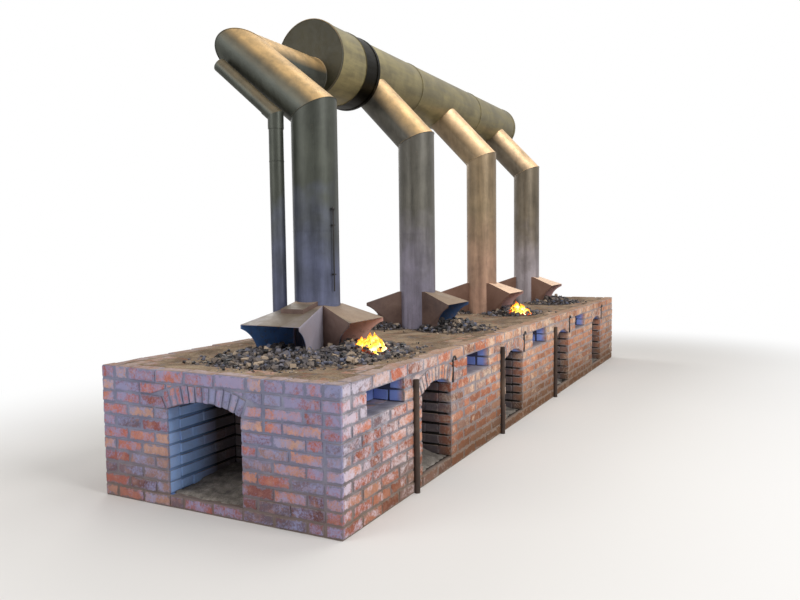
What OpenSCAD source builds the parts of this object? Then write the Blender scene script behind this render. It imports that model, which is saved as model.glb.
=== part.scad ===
// Brick blacksmith's forge bench for eight hearths.
// Sheet steel side-draught hoods feed four flue pipes and one overhead trunk duct.
// Origin: floor level under the middle of the bench. X runs along the bench, the near end is at -X.
// Y runs across it, the front face is at -Y. Z is up. Millimetres.

/* [Brickwork] */
// Length of one brick
brick_l = 215; // [190:5:240]
// Width of one brick, also the depth of an arch ring
brick_w = 102.5; // [90:2.5:115]
// Height of one brick
brick_h = 65; // [50:1:75]
// Thickness of a mortar joint
joint = 10; // [6:1:14]
// Courses under the coping
wall_courses = 10; // [8:1:12]
// Height of the coping course
coping_h = 75; // [50:1:90]

/* [Bench] */
// Width of the bench from face to face
bench_w = 1750; // [1600:10:2100]
// Distance from one bay to the next
bay_pitch = 1620; // [1560:10:1900]
// Number of bays
bays = 4; // [2:1:5]
// Near corner to the first arch opening
first_arch_x = 970; // [960:10:1100]
// Last arch opening to the far corner
end_pier = 740; // [720:10:1000]
// Depth of a pit behind its arch
pit_depth = 500; // [400:10:560]
// How far the hearth deck lies below the coping
deck_drop = 10; // [4:1:30]

/* [Arches] */
// Clear width of an arch in the long faces
arch_w = 480; // [400:10:560]
// Rise of every arch from springing to crown
arch_rise = 60; // [45:1:80]
// How much the coping's bed cuts off the top of every arch ring
crown_trim = 12.5; // [4:0.5:25]
// Brickwork beside an end arch, on the front side
end_cheek_front = 155; // [110:5:190]
// Brickwork beside an end arch, on the trunk side
end_cheek_back = 35; // [25:5:80]
// Depth of the pit behind an end arch
end_pit_depth = 600; // [400:10:640]

/* [Niches] */
// Clear width of a tool niche
niche_w = 460; // [300:10:480]
// Depth of a tool niche
niche_depth = 215; // [100:5:280]
// Near corner to the first niche
first_niche_x = 270; // [220:5:280]
// Pier between an arch and the next niche
niche_gap = 290; // [240:5:330]

/* [Flues] */
// Outer radius of a flue pipe
flue_r = 160; // [140:2:168]
// Wall of the flue pipes, ducts and hoods
sheet = 4; // [3:0.5:6]
// Near corner to the first flue
first_flue_x = 1120; // [1060:10:1180]
// Height at which a flue's axis turns
elbow_z = 2490; // [2450:10:2700]

/* [Trunk duct] */
// Outer radius of the drum
drum_r = 318; // [300:2:328]
// Length of the drum
drum_l = 620; // [500:10:640]
// Near end of the drum to its middle seam
drum_seam = 384; // [200:4:420]
// Outer radius of the trunk
trunk_r = 270; // [240:5:290]
// Trunk and drum axis behind the flues
trunk_y = 580; // [540:5:590]
// Height of the drum's axis
drum_z = 3100; // [3090:10:3300]
// Ring left under the level pipe where it enters the drum's near end
lead_edge = 8; // [7:1:40]
// Trunk beyond the last flue
trunk_tail = 480; // [400:10:700]
// Width of a seam band
band_w = 36; // [20:2:50]
// Thickness of a seam band
band_t = 5; // [3:0.5:8]

/* [Hoods] */
// Reach of a hood from the flue's axis to its lip
hood_reach = 400; // [360:5:440]
// Reach of the longer hood at the near end
end_hood_reach = 560; // [480:5:620]
// Width of a hood at its lip
hood_lip_w = 465; // [400:5:500]
// Width of a hood at the flue
hood_neck_w = 250; // [220:5:290]
// Height of the lip above the deck
hood_lip_h = 235; // [200:5:260]
// Height of a hood at the flue
hood_neck_h = 335; // [310:5:380]
// How far the sides sweep back below the lip
hood_sweep = 130; // [80:5:160]
// Plate left straight along a hood's lip
lip_band = 12; // [8:1:20]
// Plate left round the opening from a hood into its flue
throat_edge = 12; // [8:1:20]
// Height of the raised cap on the end hood
cap_h = 30; // [20:1:60]
// Width of the cap
cap_w = 180; // [140:5:240]
// Length of the cap beyond its flue
cap_l = 150; // [120:5:180]

/* [Fittings] */
// Outer radius of the air blast pipe
blast_r = 50; // [40:1:55]
// Blast pipe's axis before the first flue's
blast_x = 170; // [165:5:200]
// Blast pipe's axis behind the first flue's
blast_y = 200; // [195:5:230]
// Height at which the blast pipe's axis turns
blast_z = 2450; // [2300:10:2460]
// Slope of the blast pipe's upper run in degrees
blast_a = 40; // [35:1:40]
// Blast pipe's corner to the open end of its upper run
blast_run = 620; // [400:10:660]
// Length of each leg of the blast pipe's elbow
elbow_leg = 90; // [80:5:130]
// How far the pipes reach into the elbow
elbow_lap = 30; // [15:5:40]
// Radius of the damper rod
rod_r = 5; // [4:0.5:8]
// Lower end of the damper rod above the deck
rod_low = 430; // [380:10:600]
// Length of the damper rod
rod_len = 560; // [400:10:700]
// Turn of the rod round its flue from the front towards the near end, in degrees
rod_turn = 14; // [0:1:20]
// Radius of the iron down pipes on the front piers
pipe_r = 19; // [15:1:25]
// Down pipe's axis before its arch
pipe_before = 110; // [70:5:140]
// Top of a down pipe below the coping
pipe_drop = 30; // [10:5:80]
// Radius of a hook rod's iron
hook_r = 7; // [5:0.5:9]
// Radius of the hook's bend
hook_bend = 26; // [18:1:40]
// Hook's stem beside its arch
hook_gap = 21; // [16:1:40]
// Straight length of a hook's stem
hook_stem = 150; // [100:5:180]

/* [Coal] */
// Radius of the coal heap before the end hood
coal_r = 330; // [240:10:380]
// How far the other heaps stop short of the coping
coal_gap = 5; // [5:5:80]
// Bare deck between a heap and its flue
heap_gap = 10; // [5:5:40]
// Clearance of the coal round a hood's plates
coal_clear = 1; // [0.5:0.5:5]
// Height of a coal heap
coal_h = 75; // [40:5:90]

/* [Hidden] */
$fn = 64;

eps = 0.3;
over = 1;
course = brick_h + joint;
wall_t = brick_l + joint + brick_w;
coping_z = wall_courses * course;
spring_z = coping_z - brick_w - arch_rise + crown_trim;
bench_h = coping_z + coping_h;
deck_z = bench_h - deck_drop;
bench_l = first_arch_x + (bays - 1) * bay_pitch + arch_w + end_pier;
x_near = -bench_l / 2;
x_far = bench_l / 2;
y_face = bench_w / 2;
pit_y = y_face - pit_depth;
inner_y = y_face - wall_t;
end_arch_w = 2 * pit_y - end_cheek_front - end_cheek_back;
end_arch_y = (end_cheek_front - end_cheek_back) / 2;

function arch_x(k) = x_near + first_arch_x + k * bay_pitch + arch_w / 2;
function niche_x(k) = (k == 0) ? x_near + first_niche_x + niche_w / 2
    : arch_x(k - 1) + arch_w / 2 + niche_gap + niche_w / 2;
function flue_x(k) = x_near + first_flue_x + k * bay_pitch;
function arc_r(span) = (span * span / 4 + arch_rise * arch_rise) / (2 * arch_rise);

branch_a = atan2(drum_z - elbow_z, trunk_y);
branch_l = norm([drum_z - elbow_z, trunk_y]);
lead_z = drum_z - drum_r + flue_r + lead_edge;
lead_a = atan2(lead_z - elbow_z, trunk_y);
lead_l = norm([lead_z - elbow_z, trunk_y]);
trunk_z = drum_z + drum_r - trunk_r;
drum_x1 = flue_x(1) - flue_r - 3 * sheet;
neck_x = 0.8 * flue_r;
rod_y = -flue_r - 3 * rod_r;
drum_x0 = drum_x1 - drum_l;
trunk_x1 = flue_x(bays - 1) + trunk_tail;

// Arch outlines, drawn in the plane of the wall with the springing at height spring_z

module opening2d(span) {
    r = arc_r(span);
    translate([-span / 2, -over])
        square([span, spring_z + over]);
    intersection() {
        translate([0, spring_z + arch_rise - r])
            circle(r = r, $fn = 180);
        translate([-span / 2, spring_z - over])
            square([span, arch_rise + 2 * over]);
    }
}

module ring2d(span) {
    r = arc_r(span);
    cy = spring_z + arch_rise - r;
    half = asin(span / 2 / r);
    far = 3 * r;
    intersection() {
        difference() {
            translate([0, cy])
                circle(r = r + brick_w, $fn = 180);
            translate([0, cy])
                circle(r = r, $fn = 180);
        }
        polygon([[0, cy], [-far * sin(half), cy + far * cos(half)], [far * sin(half), cy + far * cos(half)]]);
        translate([-span, spring_z])
            square([2 * span, coping_z - spring_z]);
    }
}

// Solid of a wall plane: 2D x runs along the bench, 2D y is height, from y0 towards +Y by depth

module along(y0, depth) {
    translate([0, y0 + depth, 0])
        rotate([90, 0, 0])
            linear_extrude(depth)
                children();
}

// The same for an end face: 2D x runs along Y

module across(x0, depth) {
    translate([x0, 0, 0])
        rotate([90, 0, 90])
            linear_extrude(depth)
                children();
}

module spine_wall() {
    color("rosybrown")
        translate([x_near + end_pit_depth, -pit_y, 0])
            cube([bench_l - 2 * end_pit_depth, 2 * pit_y, spring_z]);
}

module end_cheeks() {
    low = end_arch_y - end_arch_w / 2;
    high = end_arch_y + end_arch_w / 2;
    color("rosybrown")
        for (x = [x_near, x_far - end_pit_depth]) {
            translate([x, -pit_y, 0])
                cube([end_pit_depth, low + pit_y, spring_z]);
            translate([x, high, 0])
                cube([end_pit_depth, pit_y - high, spring_z]);
        }
}

module piers() {
    starts = concat([x_near], [for (k = [0 : bays - 1]) arch_x(k) + arch_w / 2]);
    ends = concat([for (k = [0 : bays - 1]) arch_x(k) - arch_w / 2], [x_far]);
    for (k = [0 : bays])
        translate([starts[k], -y_face, 0])
            cube([ends[k] - starts[k], pit_depth, spring_z]);
}

module front_piers() {
    color("indianred")
        piers();
}

module back_piers() {
    color("indianred")
        mirror([0, 1, 0])
            piers();
}

module arches() {
    for (k = [0 : bays - 1])
        along(-y_face, wall_t)
            translate([arch_x(k), 0])
                ring2d(arch_w);
}

module front_arches() {
    color("firebrick")
        arches();
}

module back_arches() {
    color("firebrick")
        mirror([0, 1, 0])
            arches();
}

module end_arches() {
    color("firebrick")
        for (x = [x_near, x_far - wall_t])
            across(x, wall_t)
                translate([end_arch_y, 0])
                    ring2d(end_arch_w);
}

module spandrels() {
    difference() {
        translate([x_near, -y_face, spring_z])
            cube([bench_l, wall_t, coping_z - spring_z]);
        for (k = [0 : bays - 1]) {
            along(-y_face - over, wall_t + 2 * over)
                translate([arch_x(k), 0]) {
                    opening2d(arch_w);
                    ring2d(arch_w);
                    crown_gap2d(arch_w);
                }
            translate([niche_x(k) - niche_w / 2, -y_face - over, spring_z - over])
                cube([niche_w, niche_depth + over, coping_z - spring_z + 2 * over]);
        }
    }
}

// Takes away the thin edge left over the flat-topped crown

module crown_gap2d(span) {
    far = arc_r(span) + brick_w;
    half = sqrt(2 * far * crown_trim - crown_trim * crown_trim);
    translate([-half, coping_z - over])
        square([2 * half, 2 * over]);
}

module front_spandrels() {
    color("indianred")
        spandrels();
}

module back_spandrels() {
    color("indianred")
        mirror([0, 1, 0])
            spandrels();
}

module end_spandrels() {
    color("indianred")
        for (x = [x_near, x_far - wall_t])
            difference() {
                translate([x, -inner_y, spring_z])
                    cube([wall_t, 2 * inner_y, coping_z - spring_z]);
                across(x - over, wall_t + 2 * over)
                    translate([end_arch_y, 0]) {
                        opening2d(end_arch_w);
                        ring2d(end_arch_w);
                        crown_gap2d(end_arch_w);
                    }
            }
}

module arch_sills() {
    color("indianred") {
        for (k = [0 : bays - 1])
            for (y = [-y_face, y_face - brick_w])
                translate([arch_x(k) - arch_w / 2, y, 0])
                    cube([arch_w, brick_w, course]);
        for (x = [x_near, x_far - brick_w])
            translate([x, end_arch_y - end_arch_w / 2, 0])
                cube([brick_w, end_arch_w, course]);
    }
}

module hearth_bed() {
    color("tan")
        translate([x_near + wall_t, -inner_y, spring_z])
            cube([bench_l - 2 * wall_t, 2 * inner_y, coping_z - spring_z]);
}

module coping_long() {
    color("indianred")
        for (y = [-y_face, y_face - brick_l])
            translate([x_near, y, coping_z])
                cube([bench_l, brick_l, coping_h]);
}

module coping_ends() {
    color("indianred")
        for (x = [x_near, x_far - brick_l])
            translate([x, -y_face + brick_l, coping_z])
                cube([brick_l, bench_w - 2 * brick_l, coping_h]);
}

module hearth_deck() {
    color("tan")
        translate([x_near + brick_l, -y_face + brick_l, coping_z])
            cube([bench_l - 2 * brick_l, bench_w - 2 * brick_l, deck_z - coping_z]);
}

// Half spaces over and under the mitre where a pipe of axis height z turns up by angle a towards +Y

module mitre_over(z, a, size) {
    translate([0, 0, z])
        rotate([a / 2 - 45, 0, 0])
            translate([-size, -size, 0])
                cube([2 * size, 2 * size, 2 * size]);
}

module mitre_under(z, a, size) {
    translate([0, 0, z])
        rotate([a / 2 - 45, 0, 0])
            translate([-size, -size, -2 * size])
                cube([2 * size, 2 * size, 2 * size]);
}

// Pipe from the floor of its own frame, upright to height z and cut at the mitre

module upright(z0, z, a, r) {
    difference() {
        translate([0, 0, z0])
            cylinder(r = r, h = z - z0 + r);
        translate([0, 0, z0 - over])
            cylinder(r = r - sheet, h = z - z0 + r + 2 * over);
        mitre_over(z, a, 3 * r);
    }
}

// Pipe that leaves the mitre at height z and rises towards +Y at angle a

module slope(z, a, r, l) {
    difference() {
        rising(z, a, -r)
            cylinder(r = r, h = l + r);
        rising(z, a, -r - over)
            cylinder(r = r - sheet, h = l + r + 2 * over);
        mitre_under(z, a, 3 * r);
    }
}

module rising(z, a, from) {
    translate([0, 0, z])
        rotate([a - 90, 0, 0])
            translate([0, 0, from])
                children();
}

// Opening from a hood into its flue, one for each side that has a hood

module throat(turn) {
    rotate([0, 0, turn])
        translate([0, -hood_neck_w / 2 + throat_edge, deck_z - over])
            cube([2 * flue_r, hood_neck_w - 2 * throat_edge, hood_neck_h - throat_edge + over]);
}

function hood_turns(k) = (k == 0) ? [180, -90] : [-90, 90];

module risers() {
    color("slategray")
        for (k = [0 : bays - 1])
            translate([flue_x(k), 0, 0])
                difference() {
                    upright(deck_z, elbow_z, (k == 0) ? lead_a : branch_a, flue_r);
                    for (turn = hood_turns(k))
                        throat(turn);
                }
}

// Half space beyond the mitre where the first branch turns along the bench

module turn_cut(side) {
    size = 3 * flue_r;
    rising(elbow_z, lead_a, lead_l)
        rotate([0, 45 * side, 0])
            translate([-size, -size, 0])
                cube([2 * size, 2 * size, 2 * size]);
}

module branches() {
    color("slategray") {
        translate([flue_x(0), 0, 0])
            difference() {
                slope(elbow_z, lead_a, flue_r, lead_l + flue_r);
                turn_cut(1);
            }
        for (k = [1 : bays - 1])
            translate([flue_x(k), 0, 0])
                difference() {
                    slope(elbow_z, branch_a, flue_r, branch_l);
                    translate([-2 * flue_r, trunk_y, trunk_z])
                        rotate([0, 90, 0])
                            cylinder(r = trunk_r + eps, h = 4 * flue_r, $fn = 96);
                }
    }
}

// Level pipe from the first branch into the near end of the drum

module lead_pipe() {
    color("slategray")
        translate([flue_x(0), 0, 0])
            difference() {
                translate([-flue_r, trunk_y, lead_z])
                    rotate([0, 90, 0])
                        cylinder(r = flue_r, h = drum_x0 - flue_x(0) + flue_r + sheet);
                translate([-flue_r - over, trunk_y, lead_z])
                    rotate([0, 90, 0])
                        cylinder(r = flue_r - sheet, h = drum_x0 - flue_x(0) + flue_r + sheet + 2 * over);
                turn_keep();
            }
}

module turn_keep() {
    size = 3 * flue_r;
    rising(elbow_z, lead_a, lead_l)
        rotate([0, 45, 0])
            translate([-size, -size, -2 * size])
                cube([2 * size, 2 * size, 2 * size]);
}

// Level tube along the bench

module duct(x0, x1, z, r) {
    difference() {
        translate([x0, trunk_y, z])
            rotate([0, 90, 0])
                cylinder(r = r, h = x1 - x0, $fn = 96);
        translate([x0 - over, trunk_y, z])
            rotate([0, 90, 0])
                cylinder(r = r - sheet, h = x1 - x0 + 2 * over, $fn = 96);
    }
}

module drum() {
    color("darkslategray")
        duct(drum_x0 + sheet, drum_x1 - sheet, drum_z, drum_r);
}

// Flat rings that close the drum round the lead pipe and round the trunk

module drum_caps() {
    color("darkslategray") {
        cap_ring(drum_x0, flue_r + eps, lead_z);
        cap_ring(drum_x1 - sheet, trunk_r - sheet, trunk_z);
    }
}

module cap_ring(x, hole, hole_z) {
    difference() {
        translate([x, trunk_y, drum_z])
            rotate([0, 90, 0])
                cylinder(r = drum_r, h = sheet, $fn = 96);
        translate([x - over, trunk_y, hole_z])
            rotate([0, 90, 0])
                cylinder(r = hole, h = sheet + 2 * over, $fn = 96);
    }
}

module trunk() {
    color("darkslategray")
        difference() {
            duct(drum_x1, trunk_x1, trunk_z, trunk_r);
            for (k = [1 : bays - 1])
                translate([flue_x(k), 0, 0])
                    rising(elbow_z, branch_a, branch_l - trunk_r - flue_r)
                        cylinder(r = flue_r - 2 * sheet, h = trunk_r + flue_r);
        }
}

module duct_bands() {
    color("gray") {
        for (x = [drum_x0, drum_x0 + drum_seam, drum_x1 - band_w])
            band(x, drum_z, drum_r);
        for (k = [1 : bays - 2])
            band((flue_x(k) + flue_x(k + 1)) / 2, trunk_z, trunk_r);
        band(trunk_x1 - band_w, trunk_z, trunk_r);
    }
}

module band(x, z, r) {
    difference() {
        translate([x, trunk_y, z])
            rotate([0, 90, 0])
                cylinder(r = r + band_t, h = band_w, $fn = 96);
        translate([x - over, trunk_y, z])
            rotate([0, 90, 0])
                cylinder(r = r, h = band_w + 2 * over, $fn = 96);
    }
}

// Height of a hood's top above the deck at distance x from its flue's axis

function hood_top(reach, x) = hood_neck_h
    - (x - neck_x) * (hood_neck_h - hood_lip_h) / (reach - neck_x);

// Side view of a hood, 2D x away from the flue, 2D y up from the deck

module hood_side2d(reach) {
    radius = min(1.6 * hood_sweep, hood_lip_h - 2 * lip_band);
    difference() {
        polygon([
            [0, 0], [0, hood_neck_h], [neck_x, hood_neck_h],
            [reach, hood_lip_h], [reach, 0]
        ]);
        translate([reach - hood_sweep + radius, hood_lip_h - lip_band - radius])
            circle(r = radius, $fn = 96);
        translate([reach - hood_sweep, -over])
            square([hood_sweep + over, hood_lip_h - lip_band - radius + over]);
    }
}

module hood_plan2d(reach, wall, front) {
    neck = hood_neck_w / 2 - wall;
    lip = hood_lip_w / 2 - wall;
    polygon([
        [0, -neck], [neck_x, -neck], [reach, -lip], [reach + front, -lip],
        [reach + front, lip], [reach, lip], [neck_x, neck], [0, neck]
    ]);
}

module hood(reach) {
    difference() {
        intersection() {
            linear_extrude(hood_neck_h)
                hood_plan2d(reach, 0, 0);
            rotate([90, 0, 0])
                translate([0, 0, -hood_lip_w])
                    linear_extrude(2 * hood_lip_w)
                        hood_side2d(reach);
        }
        intersection() {
            translate([0, 0, -over])
                linear_extrude(hood_neck_h)
                    hood_plan2d(reach, sheet, over);
            rotate([90, 0, 0])
                translate([0, 0, -hood_lip_w])
                    linear_extrude(2 * hood_lip_w)
                        hood_inner2d(reach);
        }
        translate([0, 0, -over])
            cylinder(r = flue_r + eps, h = hood_neck_h + 2 * over);
    }
}

module hood_inner2d(reach) {
    far = reach + 2 * over;
    polygon([
        [-over, -2 * over], [-over, hood_neck_h - sheet], [neck_x, hood_neck_h - sheet],
        [far, hood_lip_h - sheet], [far, -2 * over]
    ]);
}

module hoods_front() {
    color("darkslateblue")
        for (k = [0 : bays - 1])
            translate([flue_x(k), 0, deck_z])
                rotate([0, 0, -90])
                    hood(hood_reach);
}

module hoods_back() {
    color("darkslateblue")
        for (k = [1 : bays - 1])
            translate([flue_x(k), 0, deck_z])
                rotate([0, 0, 90])
                    hood(hood_reach);
}

module hood_end() {
    color("darkslateblue")
        translate([flue_x(0), 0, deck_z])
            rotate([0, 0, 180])
                hood(end_hood_reach);
}

// Raised cap on the neck of the end hood, its top parallel to the hood's

module hood_cap() {
    color("dimgray")
        translate([flue_x(0), 0, deck_z])
            rotate([0, 0, 180])
                difference() {
                    cap_box(flue_r + cap_l, cap_w, 0, cap_h);
                    cap_box(flue_r + cap_l - sheet, cap_w - 2 * sheet, -over, cap_h - sheet);
                    cylinder(r = flue_r + eps, h = 2 * hood_neck_h);
                }
}

// Block from the flue's axis out to x, between two heights above the end hood's top

module cap_box(x, w, from, to) {
    end_z = hood_top(end_hood_reach, x);
    rotate([90, 0, 0])
        translate([0, 0, -w / 2])
            linear_extrude(w)
                polygon([
                    [0, hood_neck_h + from], [neck_x, hood_neck_h + from], [x, end_z + from],
                    [x, end_z + to], [neck_x, hood_neck_h + to], [0, hood_neck_h + to]
                ]);
}

module blast_tube(l) {
    difference() {
        cylinder(r = blast_r, h = l);
        translate([0, 0, -over])
            cylinder(r = blast_r - sheet, h = l + 2 * over);
    }
}

module blast_pipe() {
    color("darkslategray")
        translate([flue_x(0) - blast_x, blast_y, deck_z])
            blast_tube(blast_z - elbow_leg + elbow_lap - deck_z);
}

// Mitred elbow whose two legs are sleeves over the pipes, with a hair's gap at their seam

module blast_elbow() {
    r = blast_r + eps + sheet;
    color("dimgray")
        translate([flue_x(0) - blast_x, blast_y, 0]) {
            upright(blast_z - elbow_leg, blast_z, blast_a, r);
            translate([0, 0, eps])
                slope(blast_z, blast_a, r, elbow_leg);
        }
}

module blast_run_pipe() {
    color("darkslategray")
        translate([flue_x(0) - blast_x, blast_y, 0])
            rising(blast_z, blast_a, elbow_leg - elbow_lap)
                blast_tube(blast_run - elbow_leg + elbow_lap);
}

module damper_rod() {
    color("black")
        translate([flue_x(0), 0, deck_z + rod_low])
            rotate([0, 0, -rod_turn])
                translate([0, rod_y, 0]) {
                    cylinder(r = rod_r, h = rod_len);
                    translate([0, 0, rod_len + rod_r])
                        sphere(r = 2.4 * rod_r, $fn = 32);
                }
}

module damper_eyes() {
    color("dimgray")
        for (z = [rod_len * 0.2, rod_len * 0.8])
            translate([flue_x(0), 0, deck_z + rod_low + z])
                rotate([0, 0, -rod_turn])
                    difference() {
                        translate([-2 * rod_r, rod_y - 2 * rod_r, 0])
                            cube([4 * rod_r, -rod_y - flue_r + 3 * rod_r, 2 * rod_r]);
                        translate([0, rod_y, -over])
                            cylinder(r = rod_r + eps, h = 2 * rod_r + 2 * over);
                        translate([0, 0, -over])
                            cylinder(r = flue_r, h = 2 * rod_r + 2 * over);
                    }
}

module down_pipes() {
    color("saddlebrown")
        for (k = [0 : bays - 2])
            translate([arch_x(k) - arch_w / 2 - pipe_before, -y_face - pipe_r, 0])
                cylinder(r = pipe_r, h = coping_z - pipe_drop);
}

module hook_rods() {
    color("black")
        for (k = [0 : bays - 1])
            translate([arch_x(k) + arch_w / 2 + hook_gap, -y_face - hook_r - eps, spring_z])
                union() {
                    cylinder(r = hook_r, h = hook_stem, $fn = 24);
                    translate([hook_bend, 0, hook_stem])
                        rotate([90, 0, 0])
                            rotate_extrude(angle = 180, $fn = 48)
                                translate([hook_bend, 0])
                                    circle(r = hook_r, $fn = 24);
                }
}

// Low heap before a hood's mouth, cut clear of its sides

module heap(reach, middle, wide) {
    back = reach - 0.9 * hood_sweep;
    difference() {
        translate([middle, 0, 0])
            cylinder(r1 = wide, r2 = 0.4 * wide, h = coal_h, $fn = 48);
        translate([0, 0, -over])
            linear_extrude(coal_h + 2 * over)
                intersection() {
                    hood_plan2d(reach, -coal_clear, 0);
                    translate([0, -hood_lip_w])
                        square([back, 2 * hood_lip_w]);
                }
        translate([-flue_r, -hood_neck_w, -over])
            cube([2 * flue_r + heap_gap, 2 * hood_neck_w, coal_h + 2 * over]);
    }
}

module coal_heaps() {
    middle = hood_reach - hood_sweep / 2;
    color("dimgray") {
        for (k = [0 : bays - 1])
            for (turn = hood_turns(k))
                if (turn != 180)
                    translate([flue_x(k), 0, deck_z])
                        rotate([0, 0, turn])
                            heap(hood_reach, middle, y_face - brick_l - coal_gap - middle);
        translate([flue_x(0), 0, deck_z])
            rotate([0, 0, 180])
                heap(end_hood_reach, end_hood_reach - hood_sweep / 2, coal_r);
    }
}

spine_wall();
end_cheeks();
front_piers();
back_piers();
front_arches();
back_arches();
end_arches();
front_spandrels();
back_spandrels();
end_spandrels();
arch_sills();
hearth_bed();
coping_long();
coping_ends();
hearth_deck();
risers();
branches();
lead_pipe();
drum();
drum_caps();
trunk();
duct_bands();
hoods_front();
hoods_back();
hood_end();
hood_cap();
blast_pipe();
blast_elbow();
blast_run_pipe();
damper_rod();
damper_eyes();
down_pipes();
hook_rods();
coal_heaps();
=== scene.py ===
import math
import random
from functools import partial

import bmesh
import bpy
from mathutils import Matrix, Vector, noise


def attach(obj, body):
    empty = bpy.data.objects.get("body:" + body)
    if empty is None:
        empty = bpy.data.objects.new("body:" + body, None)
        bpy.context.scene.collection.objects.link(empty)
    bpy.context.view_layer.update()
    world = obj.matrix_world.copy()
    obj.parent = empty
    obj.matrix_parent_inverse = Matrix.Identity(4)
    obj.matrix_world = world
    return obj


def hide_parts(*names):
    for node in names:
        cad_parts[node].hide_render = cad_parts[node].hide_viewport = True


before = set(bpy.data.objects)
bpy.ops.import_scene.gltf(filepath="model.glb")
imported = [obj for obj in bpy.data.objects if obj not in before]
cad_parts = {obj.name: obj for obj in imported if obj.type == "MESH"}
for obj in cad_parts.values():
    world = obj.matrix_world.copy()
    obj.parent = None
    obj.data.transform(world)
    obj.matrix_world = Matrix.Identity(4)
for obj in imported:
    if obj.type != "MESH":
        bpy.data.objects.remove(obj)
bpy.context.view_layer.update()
scene = bpy.context.scene
print("frame loaded:", len(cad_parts), "nodes")


# camera as the photograph was taken, and plain soft studio light
camera = {
    "place": (-6.704, -2.867, 1.533),
    "yaw": 27.24,  # from +X towards +Y
    "pitch": 4.03,  # down
    "roll": 0.69,
    "lens": 32.84,
}


def placeCamera():
    yaw, pitch, roll = (math.radians(camera[k]) for k in ("yaw", "pitch", "roll"))
    forward = Vector((math.cos(yaw) * math.cos(pitch), math.sin(yaw) * math.cos(pitch), -math.sin(pitch)))
    level = Vector((math.sin(yaw), -math.cos(yaw), 0))
    under = forward.cross(level)
    right = math.cos(roll) * level + math.sin(roll) * under
    down = math.cos(roll) * under - math.sin(roll) * level
    data = bpy.data.cameras.new("photoCamera")
    data.lens = camera["lens"]
    data.sensor_width = 36
    data.clip_end = 200
    eye = bpy.data.objects.new("photoCamera", data)
    scene.collection.objects.link(eye)
    turn = Matrix((right, -down, -forward)).transposed().to_4x4()
    eye.matrix_world = Matrix.Translation(camera["place"]) @ turn
    scene.camera = eye


def toLinear(colour):
    parts = [int(colour[k:k + 2], 16) / 255 for k in (1, 3, 5)]
    return tuple(c / 12.92 if c <= 0.04045 else ((c + 0.055) / 1.055) ** 2.4 for c in parts) + (1.0,)


def setInputs(node, values):
    # a node or a socket is linked, a hex word is a colour, and anything else is the input's own value
    for name, value in values.items():
        socket = node.inputs[name]
        if isinstance(value, bpy.types.Node):
            value = next(s for s in value.outputs if s.enabled)
        if isinstance(value, bpy.types.NodeSocket):
            node.id_data.links.new(value, socket)
        else:
            socket.default_value = toLinear(value) if isinstance(value, str) else value


modeNames = {
    "Math": "operation", "VectorMath": "operation", "Mix": "blend_type", "MapRange": "interpolation_type",
}


def addNode(tree, kind, *values, ramp=(), **settings):
    # the node's mode may follow its kind. values go to its inputs in order, settings go by their names
    kind, _, mode = kind.partition(" ")
    node = tree.nodes.new("ShaderNode" + kind)
    if kind == "Mix":
        node.data_type = settings.pop("data_type", "RGBA")
    if mode:
        setattr(node, modeNames[kind], mode)
    inputs = {}
    for name, value in settings.items():
        if name in node.inputs:
            inputs[name] = value
        else:
            setattr(node, name, value)
    inputs.update(zip([k for k, socket in enumerate(node.inputs) if socket.enabled], values))
    setInputs(node, inputs)
    if ramp:
        stops = node.color_ramp.elements
        stops.remove(stops[1])
        stops[0].position = ramp[0][0]
        stops[0].color = toLinear(ramp[0][1])
        for position, colour in ramp[1:]:
            stops.new(position).color = toLinear(colour)
    return node


def newMaterial(name):
    material = bpy.data.materials.new(name)
    material.use_nodes = True
    material.node_tree.nodes.clear()
    add = partial(addNode, material.node_tree)
    shader = add("BsdfPrincipled")
    add("OutputMaterial", shader)
    return material, add, shader, add("TexCoord").outputs["Object"]


def stain(add, shade, colour, value, low, high, most=1.0):
    # lays a colour over the shade: none of it where the value is low, most of it where it is high
    return add("Mix", add("MapRange", value, low, high, 0.0, most), shade, colour)


studio = {
    "ambient": 0.5, "white": "#ffffff", "floor": "#dedbd7",
    "near": 0.6, "far": 3.8, "half": (3.5, 0.9, 0),  # the white grows from near to far outside this half size
}
lamps = (
    ("keyLight", (-3.5, -7.5, 6.0), (0, 0, 1.2), 4.5, 450),
    ("fillLight", (-9.0, 3.5, 5.0), (0, 0, 1.4), 5.0, 190),
    ("backLight", (5.0, 7.5, 6.0), (0, 0, 1.2), 5.0, 230),
    ("topLight", (1.0, -2.0, 8.5), (0.5, 0, 0), 5.0, 190),
)


def makeStudio():
    world = bpy.data.worlds.new("studio")
    scene.world = world
    world.use_nodes = True
    tree = world.node_tree
    tree.nodes.clear()
    add = partial(addNode, tree)
    rays = add("LightPath").outputs
    seen = add("Math ADD", rays["Is Camera Ray"], rays["Is Glossy Ray"])
    seen = add("Math MAXIMUM", seen, rays["Is Transmission Ray"])
    soft = add("Background", studio["white"], studio["ambient"])
    white = add("Background", studio["white"], 1.0)
    add("OutputWorld", add("MixShader", seen, soft, white))

    for name, place, aim, size, power in lamps:
        data = bpy.data.lights.new(name, "AREA")
        data.shape = "DISK"
        data.size = size
        data.energy = power
        lamp = bpy.data.objects.new(name, data)
        scene.collection.objects.link(lamp)
        lamp.location = place
        lamp.rotation_euler = (Vector(aim) - Vector(place)).to_track_quat("-Z", "Y").to_euler()

    shape = bmesh.new()
    bmesh.ops.create_grid(shape, x_segments=1, y_segments=1, size=90)
    data = bpy.data.meshes.new("studioFloor")
    shape.to_mesh(data)
    shape.free()
    floor = bpy.data.objects.new("studioFloor", data)
    scene.collection.objects.link(floor)
    data.materials.append(palePaper())


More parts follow.
